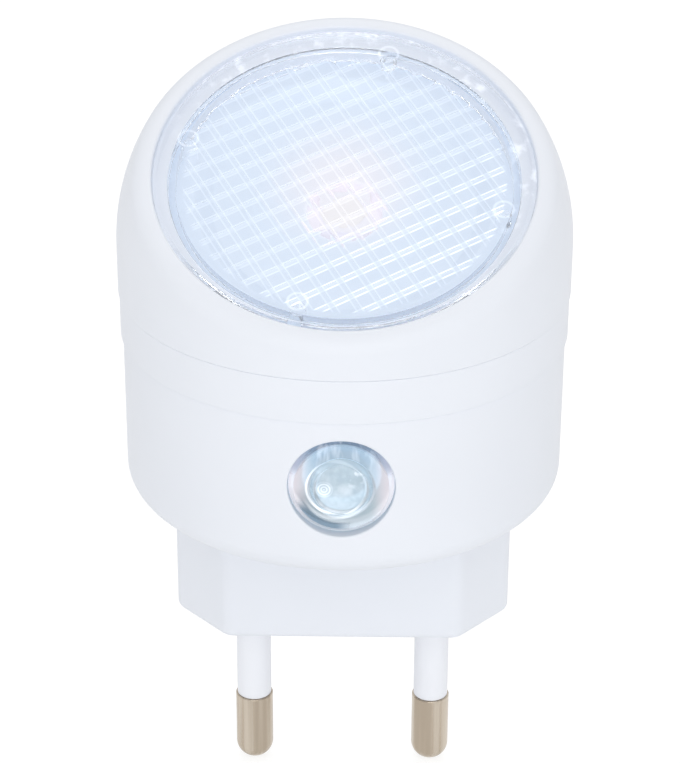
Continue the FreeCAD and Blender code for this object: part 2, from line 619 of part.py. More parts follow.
# Base cover: closes the base, carries the swivel hub and one stop lug
outline = [("hub_bore", cover_level), (f"{base_inside} - loose_gap", cover_level),
           (f"{base_inside} - loose_gap", cover_top), ("hub_radius + bearing_width", cover_top),
           ("hub_radius + bearing_width", bearing_top), ("hub_radius", bearing_top), ("hub_radius", hub_top),
           ("hub_bore", hub_top)]
cover = turned("cover_form", outline)
stop_height = "(bearing_height + bearing_gap - stop_gap)"
lug = block("cover_lug", "stop_width", "stop_width", f"{stop_height} + cover_thickness / 2", y="-stop_ring",
            z=f"{cover_top} - cover_thickness / 2")
bosses = [rod("cover_boss_rod", "cover_boss", "cover_boss_length + cover_thickness / 2 - small_flat", x, y,
              f"{post_top} + small_flat") for x, y in case_places]
cover_holes = [rod("cover_pilot", "case_screw + fit_gap", "case_screw_length + fit_gap", x, y, case_seat)
               for x, y in case_places]
cover_holes += [rod("hub_pilot", "small_screw + fit_gap", "small_screw_length + fit_gap", x, y,
                    f"{retainer_top} - small_screw_length - fit_gap") for x, y in retainer_places]
node("base_cover", cut("base_cover_cut", joined("base_cover_form", cover, lug, *bosses), *cover_holes))
screws("case_screws", case_places, case_seat, -1, "case_screw", "case_screw_length")

# Swivel collar: the band between the seams, which turns on the hub with the head
bead_low = f"(({collar_top} + {spigot_low} - bead_height) / 2)"
bead_top = f"({bead_low} + bead_height)"
collar_bore = "(hub_radius + fit_gap)"
groove = f"({collar_inside} + bead_reach)"
outline = [(collar_bore, collar_under), (collar_inside, collar_under), (collar_inside, collar_bottom),
           (collar_radius, collar_bottom), (collar_radius, collar_top), (collar_inside, collar_top),
           (collar_inside, f"{bead_top} + fit_gap"), (groove, f"{bead_top} + fit_gap"),
           (groove, f"{bead_low} - fit_gap"), (collar_inside, f"{bead_low} - fit_gap"),
           (collar_inside, collar_floor_top), (collar_bore, collar_floor_top)]
rib = block("collar_rib", "stop_width", "stop_width", f"{stop_height} + collar_floor / 2", y="stop_ring",
            z=f"{collar_under} - {stop_height}")
node("swivel_collar", joined("swivel_collar_whole", turned("collar_form", outline), rib))

# Friction washer, and the plate that keeps the head on the hub
washer_radius = "(hub_radius + washer_width)"
washer_under = f"({collar_floor_top} + small_flat)"
washer_top = f"({collar_floor_top} + washer_thickness)"
outline = [(collar_bore, washer_under), (washer_radius, washer_under), (washer_radius, washer_top),
           (collar_bore, washer_top)]
node("friction_washer", turned("washer_form", outline))
retainer_radius = "(hub_radius + retainer_width)"
outline = [("hub_bore", f"{hub_top} + small_flat"), (retainer_radius, f"{hub_top} + small_flat"),
           (retainer_radius, retainer_top), ("hub_bore", retainer_top)]
retainer_holes = [rod("retainer_hole", "small_screw + fit_gap", retainer_top, x, y)
                  for x, y in retainer_places]
node("swivel_retainer", cut("swivel_retainer_cut", turned("retainer_form", outline), *retainer_holes))
screws("retainer_screws", retainer_places, retainer_top, 1, "small_screw", "small_screw_length")

# Head housing: a round-topped shell cut off by the slanted lens face
far = f"(2 * {head_radius})"
room_radius = f"({head_radius} - head_wall)"
dome = joined("dome_form", rod("dome_side", head_radius, "head_straight", z=head_bottom),
              solid("Sphere", "dome_top", z=dome_level, Radius=head_radius, Angle1="0"))
above_face = tilted(rod("above_face", far, far), "face_depth")


def on_face(edge):
    """Whether an edge lies in the slanted lens face."""
    middle = edge.valueAt(edge.getParameterByLength(edge.Length / 2))
    points = [vertex.Point for vertex in edge.Vertexes] + [middle]
    return all(abs(above_face.Placement.inverse().multVec(point).z) < touch for point in points)


head_form = rounded("head_round", cut("head_blank", dome, above_face), sheet.rim_round, on_face)
room = joined("room_form", rod("room_side", room_radius, "head_straight + head_wall",
                               z=f"{head_bottom} - head_wall"),
              solid("Sphere", "room_top", z=dome_level, Radius=room_radius, Angle1="0"))
room = cut("head_room", room, tilted(rod("above_seat", far, far), seat_under))
seat_bore = tilted(rod("seat_bore", ledge_bore, "face_depth"), f"({seat_under} - seat_thickness)")
opening = tilted(rod("lens_opening", opening_radius, "face_depth"), lens_under)
head_shell = cut("head_cut_room", head_form, room)
head_shell = cut("head_cut_seat", head_shell, seat_bore)
head_shell = cut("head_cut_opening", head_shell, opening)
spigot_out = f"({collar_inside} - fit_gap)"
spigot_in = f"({spigot_out} - spigot_wall)"
spigot_edge = f"({head_radius} - head_wall / 2)"
bead = f"({spigot_out} + bead_reach)"
outline = [(spigot_in, spigot_low), (spigot_out, spigot_low), (spigot_out, bead_low), (bead, bead_low),
           (bead, bead_top), (spigot_out, bead_top), (spigot_out, head_bottom), (spigot_edge, head_bottom),
           (spigot_edge, f"{head_bottom} + spigot_root"), (spigot_in, f"{head_bottom} + spigot_root")]
node("head_housing", joined("head_housing_whole", head_shell, turned("spigot_form", outline)))

# Lens: a clear disc with a ring, four pegs and a grid of grooves underneath
rim = f"({opening_radius} - fit_gap)"
skirt_low = f"({seat_under} + skirt_gap)"
outline = [("0", lens_under), (skirt_in, lens_under), (skirt_in, skirt_low), (skirt_out, skirt_low),
           (skirt_out, f"{lens_under} + small_flat"), (rim, f"{lens_under} + small_flat"),
           (rim, f"{lens_top} - lens_edge"), (f"{rim} - lens_edge", lens_top), ("0", lens_top)]
lens = turned("lens_form", outline)
dome_radius = sheet.base_radius + sheet.collar_step + sheet.head_step
grid_reach = (math.sqrt(dome_radius ** 2 - sheet.face_depth ** 2) - sheet.rim_width - sheet.seat_width
              - sheet.fit_gap - sheet.skirt_wall - sheet.prism_side)
lines = int(grid_reach / sheet.prism_pitch)
for name, axis in (("rows", (1, 0, 0)), ("columns", (0, 1, 0))):
    bars = []
    for k in range(-lines, lines + 1):
        chord = f"(2 * sqrt(({skirt_in} - prism_side) ^ 2 - ({k} * prism_pitch) ^ 2))"
        level = f"{lens_under} - prism_side * sqrt(0.5)"
        if name == "rows":
            bar = solid("Box", "row_bar", Length=chord, Width="prism_side", Height="prism_side")
            bars.append(place(turn(bar, axis, 45), f"-{chord} / 2", f"{k} * prism_pitch", level))
        else:
            bar = solid("Box", "column_bar", Width=chord, Length="prism_side", Height="prism_side")
            bars.append(place(turn(bar, axis, -45), f"{k} * prism_pitch", f"-{chord} / 2", level))
    lens = cut(f"lens_{name}", lens, turn(group(f"lens_{name}_bars", *bars), (0, 0, 1), "prism_turn"))
peg_low = f"({tray_under} - peg_reach)"
peg_places = ring_places(f"({ledge_bore} - peg_inset)", "(prism_turn + 45)", 4)
pegs = [rod("peg", "peg_radius", f"{lens_under} + lens_thickness / 4 - {peg_low}", x, y, peg_low)
        for x, y in peg_places]
node("lens", tilted(joined("lens_whole", lens, *pegs)))

# Reflector: a white bowl behind the lens, held by the lens's pegs
tray_radius = f"({opening_radius} - tray_gap)"
knee = f"({bowl_mouth} - bowl_flare)"
knee_level = f"({bowl_level} + bowl_knee_rise)"
outline = [(tray_radius, tray_top), (bowl_mouth, tray_top), (knee, knee_level), ("bowl_floor", bowl_level),
           (led_window, bowl_level), (led_window, led_board_top), ("bowl_floor", led_board_top),
           (f"{knee} + tray_wall / 2", f"{knee_level} - tray_wall"),
           (f"{bowl_mouth} + tray_wall / 2", tray_under), (tray_radius, tray_under)]
tray_holes = [rod("peg_hole", "peg_radius + fit_gap", "2 * face_depth", x, y) for x, y in peg_places]
tray_holes += [rod("led_pilot", "tiny_screw + fit_gap", "tiny_screw_length + fit_gap", x, y, led_board_under)
               for x, y in led_places]
reflector = turned("reflector_form", outline)
for k, hole in enumerate(tray_holes):
    reflector = cut(f"reflector_hole_{k + 1}", reflector, hole)
node("reflector", tilted(reflector))

# LED board with the LED, and its screws
led_board = rod("led_board_disc", "led_board_radius", "led_board_thickness - small_flat", z=led_board_under)
led_holes = [rod("led_board_hole", "tiny_screw + fit_gap", "2 * face_depth", x, y, "-face_depth")
             for x, y in led_places]
node("led_board", tilted(cut("led_board_cut", led_board, *led_holes)))
led = block("led_block", "led_side", "led_side", "led_height", z=led_board_top)
led_cup_level = f"({led_board_top} + led_height - led_cup_depth)"
led_recess = rod("led_recess", led_cup, "led_height", z=led_cup_level)
node("led_package", tilted(cut("led_package_cut", led, led_recess)))
phosphor = rod("phosphor_rod", f"{led_cup} - small_flat", "led_cup_depth - small_flat")
node("led_phosphor", tilted(phosphor, f"({led_cup_level} + small_flat)"))
tilted(screws("led_board_screws", led_places, led_board_under, -1, "tiny_screw", "tiny_screw_length"))

# Lamp lead, in two lengths that meet on the swivel axis, where the real lead twists. It runs
# up from the driver board, bends over to the lens's axis and ends behind the LED board.
bend_side = "(cable_bend * (1 - cos(head_tilt)))"
bend_end_depth = f"({led_board_under} - small_flat - cable_end)"
bend_end_z = f"({dome_level} + ({bend_end_depth} - {bend_side} * sin(head_tilt)) / cos(head_tilt))"
bend_level = f"({bend_end_z} - cable_bend * sin(head_tilt))"
lead_split = f"(({retainer_top} + {bend_level}) / 2)"
node("lamp_lead_lower", rod("lower_lead", "cable_radius", f"{lead_split} - {on_board}", z=on_board))
rise = rod("lead_rise", "cable_radius", f"{bend_level} - {lead_split} - fit_gap", z=f"{lead_split} + fit_gap")
bend = solid("Torus", "lead_bend", Radius1="cable_bend", Radius2="cable_radius", Angle3="head_tilt")
in_side_plane = FreeCAD.Rotation(FreeCAD.Vector(0, 1, 0), FreeCAD.Vector(0, 0, 1), FreeCAD.Vector(1, 0, 0))
bend.Placement = FreeCAD.Placement(FreeCAD.Vector(), in_side_plane)
place(bend, y="-cable_bend", z=bend_level)
last = rod("lead_end", "cable_radius", "cable_end")
place(turn(last, (1, 0, 0), "head_tilt"), y=f"-{bend_side}", z=bend_end_z)
node("lamp_lead_upper", joined("upper_lead", rise, bend, last))

doc.recompute()
faults = [item.Label for item in doc.Objects if "Invalid" in item.State or "Error" in item.State]
faults += [item.Label for item in nodes if item.Shape.isNull() or not item.Shape.isValid()]
if faults:
    raise RuntimeError("these did not build: " + ", ".join(faults))
os.makedirs("parts", exist_ok=True)
for item in nodes:
    item.Shape.exportStep(f"parts/{item.Label}.step")
    print(item.Label, len(item.Shape.Solids), round(item.Shape.Volume, 2))
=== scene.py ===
# The look of a plug-in night light with a swivelling head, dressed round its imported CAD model.
# Metres in the CAD model's frame: +Z away from the socket, the sensor and the lens face -Y.
# Profiles and rows of points are in millimetres, and become metres when their piece is made.
import bmesh
import bpy
import json
import math
import numpy as np
from mathutils import Matrix, Vector


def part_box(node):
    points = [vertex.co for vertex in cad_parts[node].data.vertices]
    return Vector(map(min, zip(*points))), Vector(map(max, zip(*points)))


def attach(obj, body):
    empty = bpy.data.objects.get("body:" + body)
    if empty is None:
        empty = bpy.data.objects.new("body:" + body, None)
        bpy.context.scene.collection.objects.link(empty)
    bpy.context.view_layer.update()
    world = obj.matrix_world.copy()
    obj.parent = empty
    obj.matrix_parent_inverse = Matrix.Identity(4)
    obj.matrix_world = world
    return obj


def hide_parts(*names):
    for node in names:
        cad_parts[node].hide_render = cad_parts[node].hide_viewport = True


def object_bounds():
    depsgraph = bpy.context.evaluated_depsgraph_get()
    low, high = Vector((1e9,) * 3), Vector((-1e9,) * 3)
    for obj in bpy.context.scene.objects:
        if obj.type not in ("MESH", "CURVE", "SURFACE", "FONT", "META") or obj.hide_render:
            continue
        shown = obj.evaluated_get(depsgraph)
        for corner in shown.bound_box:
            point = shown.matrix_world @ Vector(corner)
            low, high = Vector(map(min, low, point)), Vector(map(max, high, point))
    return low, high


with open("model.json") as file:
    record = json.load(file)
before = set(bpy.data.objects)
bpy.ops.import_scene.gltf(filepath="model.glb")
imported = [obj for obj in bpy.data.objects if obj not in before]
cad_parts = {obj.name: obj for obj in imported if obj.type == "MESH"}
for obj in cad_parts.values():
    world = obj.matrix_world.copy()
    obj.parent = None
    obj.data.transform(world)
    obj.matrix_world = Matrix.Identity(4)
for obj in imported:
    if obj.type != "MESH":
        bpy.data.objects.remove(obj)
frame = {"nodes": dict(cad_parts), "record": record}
cad_bounds = [list(corner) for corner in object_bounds()]
scene = bpy.context.scene
scene.view_settings.view_transform = "Standard"
mm = 0.001


# Camera
# It stands in front of the lamp and above it, and looks down on the slanted lens.
# The place comes from a perspective fit of the lamp's outline in the photograph.
picture_width, picture_height = 680, 763
focal_pixels = 2598.13
elevation, turn, roll = math.radians(26.275), math.radians(0.528), math.radians(-0.298)
distance, look_height = 266.87 * mm, 27.23 * mm
aim_x, aim_y = 344.0, 378.1
toward = Vector((math.cos(elevation) * math.sin(turn), -math.cos(elevation) * math.cos(turn),
                 math.sin(elevation)))
camera = bpy.data.objects.new("camera", bpy.data.cameras.new("camera"))
scene.collection.objects.link(camera)
camera.data.sensor_fit = "VERTICAL"
camera.data.sensor_height = 24.0
camera.data.lens = focal_pixels / picture_height * camera.data.sensor_height
camera.data.shift_x = -(aim_x - picture_width / 2) / picture_height
camera.data.shift_y = (aim_y - picture_height / 2) / picture_height
camera.data.clip_start = 10 * mm
facing = toward.to_track_quat("Z", "Y").to_matrix().to_4x4()
camera.matrix_world = (Matrix.Translation(Vector((0, 0, look_height)) + distance * toward)
                       @ facing @ Matrix.Rotation(-roll, 4, "Z"))
scene.camera = camera


# Floor and light
# A white sweep under the pins that is clear from below, even light from all round as in a light
# tent, and three soft lamps. The floor keeps a faint shadow, and gloss shows the tent as white.
def formula(operation):
    """A method that puts a socket and the values after it into one maths node."""
    return lambda self, *others: self.maths(operation, *others)


class Sock:
    """A socket of a material's nodes that can be used in formulas."""

    def __init__(self, tree, socket):
        self.tree, self.socket = tree, socket

    def node(self, kind, settings=None, inputs=None, out=0):
        """Adds a node, makes its settings first, fills its inputs and gives one output."""
        made = self.tree.nodes.new(kind)
        for name, value in (settings or {}).items():
            setattr(made, name, value)
        for name, value in (inputs or {}).items():
            if isinstance(value, Sock):
                self.tree.links.new(value.socket, made.inputs[name])
            else:
                made.inputs[name].default_value = value
        return Sock(self.tree, made.outputs[out])

    def maths(self, operation, *others):
        """A maths node of this socket and the values after it."""
        return self.node("ShaderNodeMath", {"operation": operation}, dict(enumerate((self, *others))))

    __add__ = __radd__ = formula("ADD")
    __mul__ = __rmul__ = formula("MULTIPLY")
    __sub__ = formula("SUBTRACT")
    __truediv__ = formula("DIVIDE")
    __pow__ = formula("POWER")
    __abs__ = formula("ABSOLUTE")

    def __rsub__(self, other):
        """The other value less this one."""
        return self * -1.0 + other

    def smooth(self, low, high):
        """0 below low and 1 above high, with a soft step between."""
        return self.node("ShaderNodeMapRange", {"interpolation_type": "SMOOTHSTEP"},
                         {"Value": self, "From Min": low, "From Max": high})

    def ridge(self, top, near, far):
        """1 within near of the top value and 0 further than far from it, with soft steps between."""
        return 1.0 - abs(self - top).smooth(near, far)

    def mix(self, first, second):
        """The first colour where this is 0 and the second where it is 1."""
        colours = {6: first, 7: second}
        colours = {key: (*value, 1) if isinstance(value, tuple) else value for key, value in colours.items()}
        return self.node("ShaderNodeMix", {"data_type": "RGBA"}, {0: self, **colours}, 2)

    def axes(self):
        """The three numbers of a place, in millimetres."""
        split = self.node("ShaderNodeSeparateXYZ", {}, {0: self}).socket.node
        return [Sock(self.tree, output) / mm for output in split.outputs]


def finish(name, colour, roughness, **constants):
    """A material of one Principled shader: gives the material, the shader and the piece's own coordinates."""
    material = bpy.data.materials.new(name)
    material.use_nodes = True
    shader = material.node_tree.nodes["Principled BSDF"]
    shader.inputs["Base Color"].default_value = (*colour, 1)
    shader.inputs["Roughness"].default_value = roughness
    for key, value in constants.items():
        shader.inputs[key.replace("_", " ")].default_value = value
    return material, shader, Sock(material.node_tree, None).node("ShaderNodeTexCoord", out="Object")


def feed(shader, **links):
    """Links formulas to the shader's inputs."""
    for name, value in links.items():
        value.tree.links.new(value.socket, shader.inputs[name.replace("_", " ")])


def noise(place, scale, detail=3.0):
    """Soft noise from 0 to 1, with about scale grains to a metre."""
    return place.node("ShaderNodeTexNoise", {}, {"Vector": place, "Scale": scale, "Detail": detail})


def relief(height, depth):
    """A normal from a height of 0 to 1, for a relief that is depth metres deep."""
    return height.node("ShaderNodeBump", {}, {"Height": height, "Strength": 1.0, "Distance": depth})


def rays(tree, *kinds):
    """For each kind of ray, a value that is 1 for such rays and 0 for the others."""
    path = tree.nodes.new("ShaderNodeLightPath")
    return [Sock(tree, path.outputs[f"Is {kind} Ray"]) for kind in kinds]


def mixture(share, first, second):
    """A mix of two shaders: the first where the share is 0 and the second where it is 1."""
    return share.node("ShaderNodeMixShader", {}, {0: share, 1: first, 2: second})


def surface(material, shader):
    """Makes a mixture the material's surface."""
    material.node_tree.links.new(shader.socket, material.node_tree.nodes["Material Output"].inputs[0])


sweep_reach, floor_level = 3.0, cad_bounds[0][2]
corners = [(x * sweep_reach, y * sweep_reach, floor_level) for x, y in ((-1, -1), (1, -1), (1, 1), (-1, 1))]
floor_mesh = bpy.data.meshes.new("floor")
floor_mesh.from_pydata(corners, [], [(0, 1, 2, 3)])
floor = bpy.data.objects.new("floor", floor_mesh)
scene.collection.objects.link(floor)
paper_white, paper_glow, shadow_share = (0.9, 0.9, 0.9), 1.2, 0.35
paper, shader, place = finish("floor_paper", paper_white, 0.9, Specular_IOR_Level=0.1)
direct, mirrored = rays(paper.node_tree, "Camera", "Glossy")
glow = direct.node("ShaderNodeEmission", {}, {"Color": (1, 1, 1, 1), "Strength": paper_glow})
from_below = direct.node("ShaderNodeNewGeometry", out="Backfacing") * direct
lit_share = (direct + mirrored).maths("MINIMUM", 1.0) * (1 - shadow_share)
sweep = mixture(lit_share, Sock(paper.node_tree, shader.outputs[0]), glow)
surface(paper, mixture(from_below, sweep, direct.node("ShaderNodeBsdfTransparent")))
floor_mesh.materials.append(paper)

tent_light, tent_mirror = 0.745, 0.75
world = bpy.data.worlds.new("light_tent")
scene.world = world
world.use_nodes = True
sky = world.node_tree.nodes["Background"]
sky.inputs["Color"].default_value = (1, 1, 1, 1)
direct, mirrored, bent = rays(world.node_tree, "Camera", "Glossy", "Transmission")
strength = tent_light + mirrored * (tent_mirror - tent_light)
feed(sky, Strength=direct.maths("MAXIMUM", bent) * (1.0 - strength) + strength)

lamps = {"front_lamp": ((0.06, -0.55, 0.36), 0.5, 0.63),
         "low_lamp": ((0.0, -0.5, 0.13), 0.25, 0.30),
         "top_lamp": ((0.0, 0.35, 0.5), 0.4, 0.50)}
for name, (place, size, watts) in lamps.items():
    lamp = bpy.data.objects.new(name, bpy.data.lights.new(name, "AREA"))
    lamp.data.size, lamp.data.energy = size, watts
    scene.collection.objects.link(lamp)
    lamp.location = place
    lamp.rotation_euler = (Vector(place) - Vector((0, 0, look_height))).to_track_quat("Z", "Y").to_euler()


# Contact pins and their sleeves
# Two nickel-plated brass pins with bullet tips, turned on a lathe, each in a moulded white sleeve
# that leaves the contact end bare. Turning marks run round the pins, and the plating is a warm grey.
def eased(corners, closed=False, steps=8):
    """A profile through corners (radius, height, round), each corner an arc that touches both its sides."""
    count, points = len(corners), []
    for k, corner in enumerate(corners):
        here, bend = np.array(corner[:2], float), (corner[2] if len(corner) > 2 else 0)
        if not bend or (not closed and k in (0, count - 1)):
            points.append(here)
            continue
        before = np.array(corners[k - 1][:2]) - here
        after = np.array(corners[(k + 1) % count][:2]) - here
        before, after = before / np.linalg.norm(before), after / np.linalg.norm(after)
        half = math.acos(np.clip(before @ after, -1, 1)) / 2
        middle = here + (before + after) / np.linalg.norm(before + after) * bend / math.sin(half)
        start, end = (here + side * bend / math.tan(half) - middle for side in (before, after))
        sweep = math.pi - 2 * half
        share = np.linspace(0, 1, steps + 1)[:, None]
        arc = (np.sin((1 - share) * sweep) * start + np.sin(share * sweep) * end) / math.sin(sweep)
        points += list(middle + arc)
    return np.array(points + points[:1] if closed else points)


def turned(profile, middle=(0, 0), steps=96):
    """A profile (radius, height) turned about an upright axis: one row per point, one column per way."""
    angle = np.linspace(0, 2 * math.pi, steps + 1)
    ring = np.stack([np.cos(angle), np.sin(angle)], -1)
    flat = profile[:, None, :1] * ring[None] + np.array(middle)
    return np.concatenate([flat, np.broadcast_to(profile[:, None, 1:], (*flat.shape[:2], 1))], -1)


def piece(name, body, grids, material, nodes=(), crease=30):
    """One object from grids of points in millimetres. Points that meet become one; faces turn outwards."""
    points, faces, start = [], [], 0
    for grid in grids:
        rows, columns = grid.shape[:2]
        index = start + np.arange(rows * columns).reshape(rows, columns)
        quads = np.stack([index[:-1, :-1], index[:-1, 1:], index[1:, 1:], index[1:, :-1]], -1)
        keep = ~np.isnan(grid).any(-1)
        keep = keep[:-1, :-1] & keep[:-1, 1:] & keep[1:, 1:] & keep[1:, :-1]
        faces.append(quads[keep])
        points.append(grid.reshape(-1, 3))
        start += rows * columns
    used, faces = np.unique(np.concatenate(faces), return_inverse=True)
    mesh = bpy.data.meshes.new(name)
    mesh.from_pydata((np.concatenate(points)[used] * mm).tolist(), [], faces.reshape(-1, 4).tolist())
    work = bmesh.new()
    work.from_mesh(mesh)
    bmesh.ops.remove_doubles(work, verts=work.verts, dist=merge_reach)
    bmesh.ops.recalc_face_normals(work, faces=work.faces)
    work.to_mesh(mesh)
    work.free()
    mesh.shade_smooth()
    mesh.set_sharp_from_angle(angle=math.radians(crease))
    mesh.materials.append(material)
    made = bpy.data.objects.new(name, mesh)
    scene.collection.objects.link(made)
    if body:
        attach(made, body)
    if nodes:
        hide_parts(*nodes)
    return made


def span(node, axis):
    """Where a CAD node starts and ends along an axis, in millimetres."""
    return [corner[axis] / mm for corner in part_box(node)]


def stretched(place, run):
    """The place with each axis scaled, so that noise runs long where the scale is small."""
    return place.node("ShaderNodeVectorMath", {"operation": "MULTIPLY"}, {0: place, 1: run})


merge_reach = 0.002 * mm
nickel, shader, place = finish("pin_nickel", (0.50, 0.43, 0.34), 0.3, Metallic=1.0)
drawn = noise(stretched(place, (1, 1, 0.02)), 900.0, 2.0)
marks = noise(stretched(place, (0.05, 0.05, 1)), 3000.0, 2.0)
feed(shader, Base_Color=drawn.smooth(0.35, 0.65).mix((0.44, 0.37, 0.29), (0.60, 0.53, 0.44)),
     Roughness=drawn * 0.15 + 0.2, Normal=relief(marks, 0.0008 * mm))
sleeve_white, shader, place = finish("sleeve_white", (0.90, 0.92, 0.97), 0.45)
feed(shader, Roughness=noise(place, 900.0) * 0.15 + 0.4, Normal=relief(noise(place, 2500.0), 0.006 * mm))
pin_radius, pin_neck, tip_round, edge_round, sleeve_play = 2.0, 1.5, 1.9, 0.12, 0.02
boss_top, flange_radius, flange_top, tail_radius, tail_round = 8.0, 3.1, 9.2, 1.0, 0.2
pin_tip, tail_top = span("contact_pin_left", 2)
sleeve_end, sleeve_root = span("pin_sleeve_left", 2)
sleeve_bore = pin_neck + sleeve_play
for side in ("left", "right"):
    pin_x = sum(span(f"pin_sleeve_{side}", 0)) / 2
    sleeve_radius = span(f"pin_sleeve_{side}", 0)[1] - pin_x
    outline = eased([(0, pin_tip), (pin_radius, pin_tip, tip_round), (pin_radius, sleeve_end, edge_round),
                     (pin_neck, sleeve_end), (pin_neck, boss_top), (flange_radius, boss_top),
                     (flange_radius, flange_top), (tail_radius, flange_top),
                     (tail_radius, tail_top, tail_round), (0, tail_top)], steps=14)
    piece(f"pin_{side}", "base", [turned(outline, (pin_x, 0))], nickel, [f"contact_pin_{side}"])
    outline = eased([(sleeve_bore, sleeve_end), (sleeve_radius, sleeve_end, edge_round),
                     (sleeve_radius, sleeve_root), (sleeve_bore, sleeve_root)], closed=True)
    piece(f"sleeve_{side}", "base", [turned(outline, (pin_x, 0))], sleeve_white, [f"pin_sleeve_{side}"])


# Base housing
# A round cup with the flat six-sided plug block moulded on in one piece, in bluish-white satin ABS.
# One skin runs from the pocket in the plug block over the cup's rim and down to the block's end face,
# and the screw recesses and pin holes are drilled into it. The posts and bosses inside are extra.
def white_plastic(name, colour):
    """Satin moulded plastic: a hardly visible cloud in the colour and a very fine orange peel."""
    material, shader, place = finish(name, colour, 0.42, Specular_IOR_Level=0.35)
    grain = noise(place, 1800.0, 4.0)
    darker, lighter = (tuple(share * part for part in colour) for share in (0.992, 1.008))
    feed(shader, Base_Color=noise(place, 60.0).smooth(0.3, 0.7).mix(darker, lighter),
         Roughness=grain * 0.12 + 0.36, Normal=relief(grain, 0.003 * mm))
    return material


def drilled(target, grids, crease=30):
    """Cuts closed grids out of an object's mesh, and keeps its sharp edges marked."""
    drill = piece("drill", None, grids, target.data.materials[0])
    target.modifiers.new("drill", "BOOLEAN").object = drill
    mesh = bpy.data.meshes.new_from_object(target.evaluated_get(bpy.context.evaluated_depsgraph_get()))
    target.modifiers.clear()
    target.data = mesh
    mesh.set_sharp_from_angle(angle=math.radians(crease))
    bpy.data.objects.remove(drill)


def six_sided(inset, corner):
    """The plug block's reach in each direction round Z, its outline moved inwards square to its sides."""
    slope = (plug_half - plug_flat) / plug_face
    face = plug_face - inset
    point = plug_half - inset * math.hypot(1, slope)
    flat = point - slope * face
    outline = eased([(point, 0, corner), (flat, face, corner), (-flat, face, corner), (-point, 0, corner),
                     (-flat, -face, corner), (flat, -face, corner)], closed=True, steps=24)
    share = np.linspace(0, 1, 60)[:, None, None]
    dense = (outline[:-1] + (outline[1:] - outline[:-1]) * share).reshape(-1, 2)
    angle = np.arctan2(dense[:, 1], dense[:, 0])
    order = np.argsort(angle)
    return np.interp(around, angle[order], np.hypot(*dense[order].T), period=2 * math.pi)


def loop(reach, level):
    """One row of points round Z at a level, with one reach for every direction or one for each."""
    reach, level = np.broadcast_to(reach, around.shape), np.broadcast_to(level, around.shape)
    return np.stack([reach * np.cos(around), reach * np.sin(around), level], -1)


def opened(wall, directions, edge):
    """Opens a wall's rows in front, and gives the rows from that opening's frame in to the window's hole."""
    middle = columns // 2
    left, right = middle - hole_columns, middle + hole_columns
    frame_loop = np.concatenate([wall[0, left:right], wall[:-1, right], wall[-1, right:left:-1],
                                 wall[:0:-1, left], wall[:1, left]])
    reach = math.hypot(frame_loop[0, 0], frame_loop[0, 1])
    if directions is None:
        directions = np.arctan2(frame_loop[:, 2] - hole_level, frame_loop[:, 0])
    circle = np.stack([np.cos(directions), np.sin(directions)], -1)
    flat = frame_loop[:, ::2]
    rows = [flat * (1 - share) + (circle * (hole_radius + edge) + (0, hole_level)) * share
            for share in np.linspace(0, 1, 9)]
    depth = [np.zeros(len(flat))] * len(rows)
    for lean in np.linspace(0, math.pi / 2, 6)[1:] if edge else ():
        rows.append(circle * (hole_radius + edge * (1 - math.sin(lean))) + (0, hole_level))
        depth.append(np.full(len(flat), edge * (1 - math.cos(lean))))
    rows, depth = np.array(rows), np.array(depth)
    front = -np.sqrt(reach ** 2 - rows[..., 0] ** 2) + depth
    wall[1:-1, left + 1:right] = np.nan
    return np.stack([rows[..., 0], front, rows[..., 1]], -1), directions


def rod(radius, low, high):
    """The profile of a solid rod."""
    return np.array([(0, low), (radius, low), (radius, high), (0, high)])


columns, hole_columns, wall_rows, post_columns = 384, 18, 40, 48
around = np.linspace(math.pi / 2, 2.5 * math.pi, columns + 1)
base_radius, base_wall, base_low, base_round, floor_top = 22.4, 1.7, 16.5, 2.5, 18.3
base_rim, rim_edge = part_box("base_housing")[1][2] / mm, 0.1
plug_half, plug_flat, plug_face, plug_wall, plug_end = 18.3, 12.2, 6.85, 1.8, 3.6
plug_edge, plug_corner, pocket_corner = 0.8, 2.0, 0.3
hole_radius, hole_level, hole_half, hole_edge, seat_y = 5.15, 26.4, 6.0, 0.22, -19.2
inside = base_radius - base_wall
pocket, outer = six_sided(plug_wall, pocket_corner), six_sided(0, plug_corner)
levels = np.linspace(hole_level - hole_half, hole_level + hole_half, wall_rows)
floor_rows = [loop(0, plug_end), loop(pocket, plug_end)]
floor_rows += [loop(pocket + (inside - pocket) * share, floor_top) for share in np.linspace(0, 1, 16)]
inner_wall = np.array([loop(inside, level) for level in levels])
outer_wall = np.array([loop(base_radius, level) for level in levels])
outer_patch, directions = opened(outer_wall, None, hole_edge)
inner_patch, directions = opened(inner_wall, directions, 0)
inner_wall[..., 1] = np.maximum(inner_wall[..., 1], seat_y)
inner_patch[..., 1] = seat_y
hole_end = outer_patch[-1] * (1, 0, 1) + (0, seat_y, 0)
hole_side = np.array([outer_patch[-1], (outer_patch[-1] + hole_end) / 2, hole_end])
rim_rows = eased([(inside, levels[-1]), (inside, base_rim, rim_edge), (base_radius, base_rim, rim_edge),
                  (base_radius, levels[-1])])
rim_rows = np.array([loop(radius, level) for radius, level in rim_rows])
rim_rows[0, :, 1] = np.maximum(rim_rows[0, :, 1], seat_y)
low_rows = eased([(base_radius, levels[0]), (base_radius, base_low, base_round), (inside - 2, base_low)],
                 steps=20)
low_rows = [loop(radius, level) for radius, level in low_rows[:-1]]
under = low_rows[-1]
low_rows += [under + (loop(outer, base_low) - under) * share for share in np.linspace(0, 1, 10)[1:]]
end_rows = [loop(outer, level) for level in np.linspace(base_low, plug_edge, 12)]
